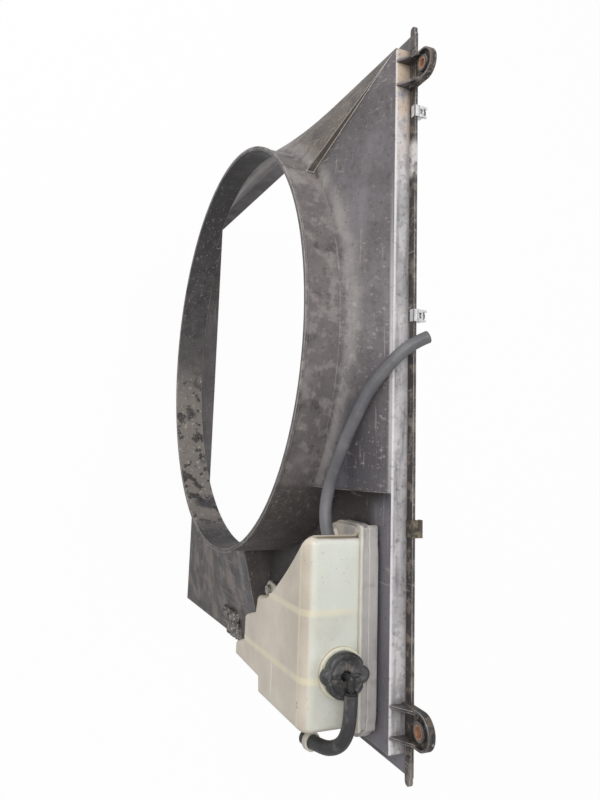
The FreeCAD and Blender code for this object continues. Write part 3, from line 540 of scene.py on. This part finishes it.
def cap_mesh():
    """The cap as rings of points from the vent hole out and down to its mouth."""
    verts = []
    for ring in range(CAP_RINGS):
        share = (ring / (CAP_RINGS - 1)) ** 0.9
        for k in range(CAP_AROUND):
            a = math.tau * k / CAP_AROUND
            edge = lobed_radius(a) - 1.6
            r = STEM_HOLE + (edge - STEM_HOLE) * share
            verts.append((r, a, CAP_TOP - cap_height(r, a)))
    for inset, drop in ((0.75, 1.35), (0.22, 2.0), (0.0, 2.9), (0.0, 5.0),
                        (0.0, LOBE_DEPTH - 1.2), (0.3, LOBE_DEPTH - 0.5), (1.2, LOBE_DEPTH)):
        for k in range(CAP_AROUND):
            a = math.tau * k / CAP_AROUND
            verts.append((lobed_radius(a) - inset, a, CAP_TOP - drop))
    for radius, z in ((CAP_RADIUS - 1.8, CAP_TOP - LOBE_DEPTH - 0.1),
                      (CAP_RADIUS - 1.6, CAP_FOOT + 0.9), (CAP_RADIUS - 1.6, CAP_FOOT + 0.3),
                      (CAP_RADIUS - 1.9, CAP_FOOT), (CAP_MOUTH, CAP_FOOT),
                      (CAP_MOUTH, CAP_TOP - CAP_ROOF), (STEM_HOLE, CAP_TOP - CAP_ROOF)):
        for k in range(CAP_AROUND):
            verts.append((radius, math.tau * k / CAP_AROUND, z))
    rows = len(verts) // CAP_AROUND
    faces = []
    for row in range(rows):
        for k in range(CAP_AROUND):
            j = (k + 1) % CAP_AROUND
            after = (row + 1) % rows
            faces.append((row * CAP_AROUND + k, after * CAP_AROUND + k,
                          after * CAP_AROUND + j, row * CAP_AROUND + j))
    places_3d = [((CAP_X + r * math.cos(a)) * MM, (CAP_Y + r * math.sin(a)) * MM, z * MM)
                 for r, a, z in verts]
    mesh = bpy.data.meshes.new("winged_cap")
    mesh.from_pydata(places_3d, [], faces)
    mesh.polygons.foreach_set("use_smooth", [True] * len(faces))
    mesh.update()
    return mesh


# satin black with a thin grey film, brown dust in the hollow and pale flecks
cap_nylon, tree, shader = new_finish("nylon_glass_filled_black_dusty")
point, place, (nx, ny, nz), facing = places(tree)
from_axis = add_node(tree, "VectorMath", {"operation": "MULTIPLY"}, {0: point, 1: (1, 1, 0)})
axis_far = add_node(tree, "VectorMath", {"operation": "DISTANCE"},
                    {0: from_axis.outputs[0], 1: (CAP_X, CAP_Y, 0)}).outputs["Value"]
film = patches(tree, 7, 0.34, 0.68)
colour = coat(tree, "#242425", "#3f3f41", film)
colour = coat(tree, colour, "#6f6d6f", times(tree, ramp(tree, nz, 0.8, 1.0), film, 0.3))
settled = times(tree, ramp(tree, axis_far, 15, 9), patches(tree, 3.4, 0.46, 0.62))
colour = coat(tree, colour, "#7c7168", times(tree, settled, 0.7))
colour = coat(tree, colour, "#1c1b1b", times(tree, ramp(tree, axis_far, 5.6, 4.4), 0.85))
colour = coat(tree, colour, "#8f8a86", times(tree, patches(tree, 1.1, 0.62, 0.68), 0.4))
tree.links.new(colour, shader.inputs["Base Color"])
shader.inputs["Roughness"].default_value = 0.33
shader.inputs["IOR"].default_value = 1.53
surface = relief(tree, patches(tree, 2.4, 0.2, 0.8), 0.28)
surface = relief(tree, patches(tree, 0.9, 0.3, 0.7, detail=2.0), 0.08, surface)
tree.links.new(surface, shader.inputs["Normal"])

winged_cap = bpy.data.objects.new("winged_cap", cap_mesh())
winged_cap.data.materials.append(cap_nylon)
scene.collection.objects.link(winged_cap)
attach(winged_cap, "cap")
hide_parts("tank_cap")

# ---------------------------------------------------------- vent elbow and seal
# The elbow in the cap is turned black acetal, still shiny; the seal under the
# cap is a flat ring of soft nitrile rubber.
elbow_acetal, tree, shader = new_finish("acetal_black_moulded_glossy")
film = patches(tree, 5, 0.4, 0.7)
tree.links.new(coat(tree, "#1f1f20", "#3c3b3c", film), shader.inputs["Base Color"])
tree.links.new(relief(tree, patches(tree, 1.5, 0.3, 0.7), 0.05), shader.inputs["Normal"])
shader.inputs["Roughness"].default_value = 0.22
shader.inputs["IOR"].default_value = 1.48
cad["cap_elbow"].material_slots[0].material = elbow_acetal
cad["tank_cap_seal"].material_slots[0].material = rubber(
    "nitrile_rubber_seal_ring", "#242322", "#34312e")

# ------------------------------------------------------- plated clips and screw
# Spring nuts are pressed from zinc-plated strip and the hook from phosphated strip.
# The tank's screw and nut are zinc-plated too; the ears' bushes are plain turned
# steel, pressed in.  Bloom and rust sit in the folds.


def worn_steel(name, bright, bloom, rust, rusty, gloss):
    """Steel with a bloom over the metal, and rust where the surface wore off."""
    material, tree, shader = new_finish(name)
    spangle = patches(tree, 2.2, 0.35, 0.65)
    colour = coat(tree, bright, bloom, spangle)
    corners = add_node(tree, "AmbientOcclusion", {"samples": SOFT_SAMPLES},
                       {"Distance": 0.004}).outputs["AO"]
    crust = patches(tree, 2.6, 0.62 - rusty * 0.3, 0.74 - rusty * 0.2)
    colour = coat(tree, colour, rust, crust)
    colour = coat(tree, colour, "#3d2d22", times(tree, ramp(tree, corners, 0.7, 0.3), 0.5))
    tree.links.new(colour, shader.inputs["Base Color"])
    bare = add_node(tree, "MapRange", None, {"Value": crust, "To Min": 0.85, "To Max": 0.1})
    tree.links.new(bare.outputs[0], shader.inputs["Metallic"])
    dull = add_node(tree, "MapRange", None, {"Value": spangle, "To Min": gloss,
                                             "To Max": gloss + 0.22})
    tree.links.new(dull.outputs[0], shader.inputs["Roughness"])
    soft_edge = add_node(tree, "Bevel", {"samples": SOFT_SAMPLES}, {"Radius": 0.0005}).outputs[0]
    surface = relief(tree, spangle, 0.05, soft_edge)
    surface = relief(tree, crust, 0.12, surface)
    tree.links.new(surface, shader.inputs["Normal"])
    return material


# white zinc, dull zinc, orange rust over bare steel, and brown-black phosphate
zinc = worn_steel("steel_zinc_plated_bright", "#e9e9ec", "#f6f6f8", "#a8927c", 0.05, 0.32)
old_zinc = worn_steel("steel_zinc_plated_dull", "#9b9893", "#bdb9b0", "#7a5a40", 0.35, 0.38)
bush_steel = worn_steel("steel_plain_turned_rusted", "#a08573", "#b59b86", "#9a6a4c", 0.7, 0.42)
hook_steel = worn_steel("steel_strip_phosphated", "#5a544c", "#8d8373", "#3a342d", 0.55, 0.40)
for node, steel in (("tank_screw", old_zinc), ("tank_screw_nut", old_zinc),
                    ("ear_bush_left", bush_steel), ("ear_bush_right", bush_steel),
                    ("edge_hook_right", hook_steel)):
    cad[node].material_slots[0].material = steel

# Each spring nut is one folded strip: a leaf on either side of the flange, and
# behind it a cage with two prongs round the threaded tube.  Bars are given as low
# and high corners, in millimetres from the nut's own left front top corner.
NUT_BARS = (
    ((0, 0, -6.5), (12, 1.1, 0)), ((0, 0, -1.2), (12, 5.4, 0)), ((0, 4.2, -9.2), (12, 5.4, 0)),
    ((0, 5.4, -8.0), (1.2, 11, -0.2)), ((10.8, 5.4, -8.0), (12, 11, -0.2)),
    ((0, 5.4, -1.6), (3.4, 11.2, -0.3)), ((8.6, 5.4, -1.6), (12, 11.2, -0.3)),
    ((3.4, 5.4, -1.8), (8.6, 7.0, -0.5)), ((3.4, 9.6, -1.8), (8.6, 11.2, -0.5)),
    ((0.2, 11.0, -3.4), (2.6, 15.2, -0.4)), ((9.6, 11.0, -3.4), (11.8, 14.6, -0.4)),
)
NUT_TUBE = ((3.6, 0.0), (3.6, 8.6), (3.1, 9.0), (2.5, 9.0), (2.4, 8.4), (2.4, 1.0), (0.01, 1.0))


def spring_nut(name, node):
    """The folded strip of one spring nut, its bars softened along their edges."""
    low, high = (Vector(v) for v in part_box(node))
    corner = Vector((low.x, low.y, high.z))
    shape = bmesh.new()
    for bar_low, bar_high in NUT_BARS:
        span = [b - a for a, b in zip(bar_low, bar_high)]
        middle = [(a + b) / 2 for a, b in zip(bar_low, bar_high)]
        place = Matrix.Translation(corner + Vector(middle) * MM)
        stretch = Matrix.Diagonal((*(v * MM for v in span), 1))
        bmesh.ops.create_cube(shape, size=1, matrix=place @ stretch)
    mesh = bpy.data.meshes.new(name)
    shape.to_mesh(mesh)
    shape.free()
    mesh.materials.append(zinc)
    nut = bpy.data.objects.new(name, mesh)
    scene.collection.objects.link(nut)
    soften = nut.modifiers.new("rolled_edges", "BEVEL")
    soften.width = 0.28 * MM
    soften.segments = 2
    tube_start = Vector(((low.x + high.x) / 2, low.y + 5.2 * MM, low.z + 4.6 * MM))
    tube = lathe(name + "_tube", NUT_TUBE, tube_start, Vector((0, 1, 0)), old_zinc, around=24)
    for piece in (nut, tube):
        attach(piece, "shroud")
    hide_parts(node)


spring_nut("spring_nut_left", "edge_nut_left")
spring_nut("spring_nut_middle", "edge_nut_middle")

# ------------------------------------------------------------- sealing compound
# A strip of butyl compound, pressed on by hand and now shrivelled into hard,
# shiny folds, with highlights painted on them.
STRIP_FOLD = 9.0


def crumpled(name, node, lift):
    """A copy of a CAD strip, cut fine and pushed into folds along its normals."""
    fine = cad[node].data.copy()
    fine.name = name
    piece = bpy.data.objects.new(name, fine)
    scene.collection.objects.link(piece)
    remesh = piece.modifiers.new("fine_skin", "REMESH")
    remesh.mode = "VOXEL"
    remesh.voxel_size = 0.7 * MM
    view = bpy.context.evaluated_depsgraph_get()
    skin = bpy.data.meshes.new_from_object(piece.evaluated_get(view))
    piece.modifiers.clear()
    piece.data = skin
    low, high = (Vector(v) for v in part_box(node))
    for vertex in skin.vertices:
        spot = vertex.co / MM
        fold = 1 - abs(noise.noise(spot / STRIP_FOLD)) * 2.4
        crease = 1 - abs(noise.noise(spot / (STRIP_FOLD * 0.45) + Vector((9, 4, 2)))) * 2
        push = lift * (max(fold, 0) ** 1.5 * 0.75 + crease * 0.25) - lift * 0.45
        moved = vertex.co + vertex.normal * push * MM
        vertex.co = Vector(min(max(c, l), h) for c, l, h in zip(moved, low, high))
    skin.polygons.foreach_set("use_smooth", [True] * len(skin.polygons))
    skin.update()
    return piece


# grey-brown folds that shine like wet tar, with pale flecks painted on as highlights
butyl, tree, shader = new_finish("butyl_compound_shrivelled")
colour = coat(tree, "#4a4541", "#8b857f", patches(tree, 5, 0.42, 0.62))
colour = coat(tree, colour, "#c9c5bf", times(tree, patches(tree, 2.6, 0.58, 0.66), 0.8))
tree.links.new(colour, shader.inputs["Base Color"])
tree.links.new(relief(tree, patches(tree, 1.8, 0.3, 0.7), 0.5), shader.inputs["Normal"])
shader.inputs["Roughness"].default_value = 0.24
strip = crumpled("sealing_compound_strip", "sealing_strip", 3.4)
strip.data.materials.clear()
strip.data.materials.append(butyl)
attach(strip, "shroud")
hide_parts("sealing_strip")

# ---------------------------------------------------------- floor and the light
# A pale floor under the shroud, a plain white sky, and two soft lamps.  The lamps
# and the sky together light a surface at about the level its colour is written.
floor_mesh = bpy.data.meshes.new("floor")
reach, floor_z = 6.0, -0.712
floor_mesh.from_pydata([(-reach, -reach, floor_z), (reach, -reach, floor_z),
                        (reach, reach, floor_z), (-reach, reach, floor_z)], [], [(0, 1, 2, 3)])
floor = bpy.data.objects.new("floor", floor_mesh)
scene.collection.objects.link(floor)
floor_paint, tree, shader = new_finish("floor_matt_white")
shader.inputs["Base Color"].default_value = rgb("#e6e6e6")
shader.inputs["Roughness"].default_value = 0.9
glow = add_node(tree, "Emission", None, {"Color": (1, 1, 1, 1), "Strength": 1.0})
ray = add_node(tree, "LightPath")
seen = add_node(tree, "Math", {"operation": "MULTIPLY"}, {0: ray.outputs["Is Camera Ray"], 1: 0.96})
blend = add_node(tree, "MixShader", None, {0: seen.outputs[0], 1: shader.outputs[0],
                                           2: glow.outputs[0]})
tree.links.new(blend.outputs[0], tree.nodes["Material Output"].inputs["Surface"])
floor.data.materials.append(floor_paint)

world = bpy.data.worlds.new("white_sky")
scene.world = world
world.use_nodes = True
tree = world.node_tree
ray = add_node(tree, "LightPath")
direct = add_node(tree, "Math", {"operation": "MAXIMUM"}, {
    0: ray.outputs["Is Camera Ray"], 1: ray.outputs["Is Transmission Ray"]})
level = add_node(tree, "MapRange", None, {"Value": direct.outputs[0], "To Min": 0.62,
                                          "To Max": 1.0})
sky = tree.nodes["Background"]
sky.inputs["Color"].default_value = (1, 1, 1, 1)
tree.links.new(level.outputs[0], sky.inputs["Strength"])


def soft_lamp(name, place, aim, width, power):
    """A square area lamp that looks at a point."""
    data = bpy.data.lights.new(name, "AREA")
    data.size = width
    data.energy = power
    lamp = bpy.data.objects.new(name, data)
    scene.collection.objects.link(lamp)
    lamp.location = place
    lamp.rotation_euler = (Vector(aim) - Vector(place)).to_track_quat("-Z", "Y").to_euler()


soft_lamp("soft_lamp_above", (-0.5, -0.7, 1.5), (0, 0, -0.3), 1.3, 20)
soft_lamp("soft_lamp_end", (-1.5, -0.9, 0.4), (0, 0, -0.3), 0.8, 5)
scene.view_settings.view_transform = "Standard"
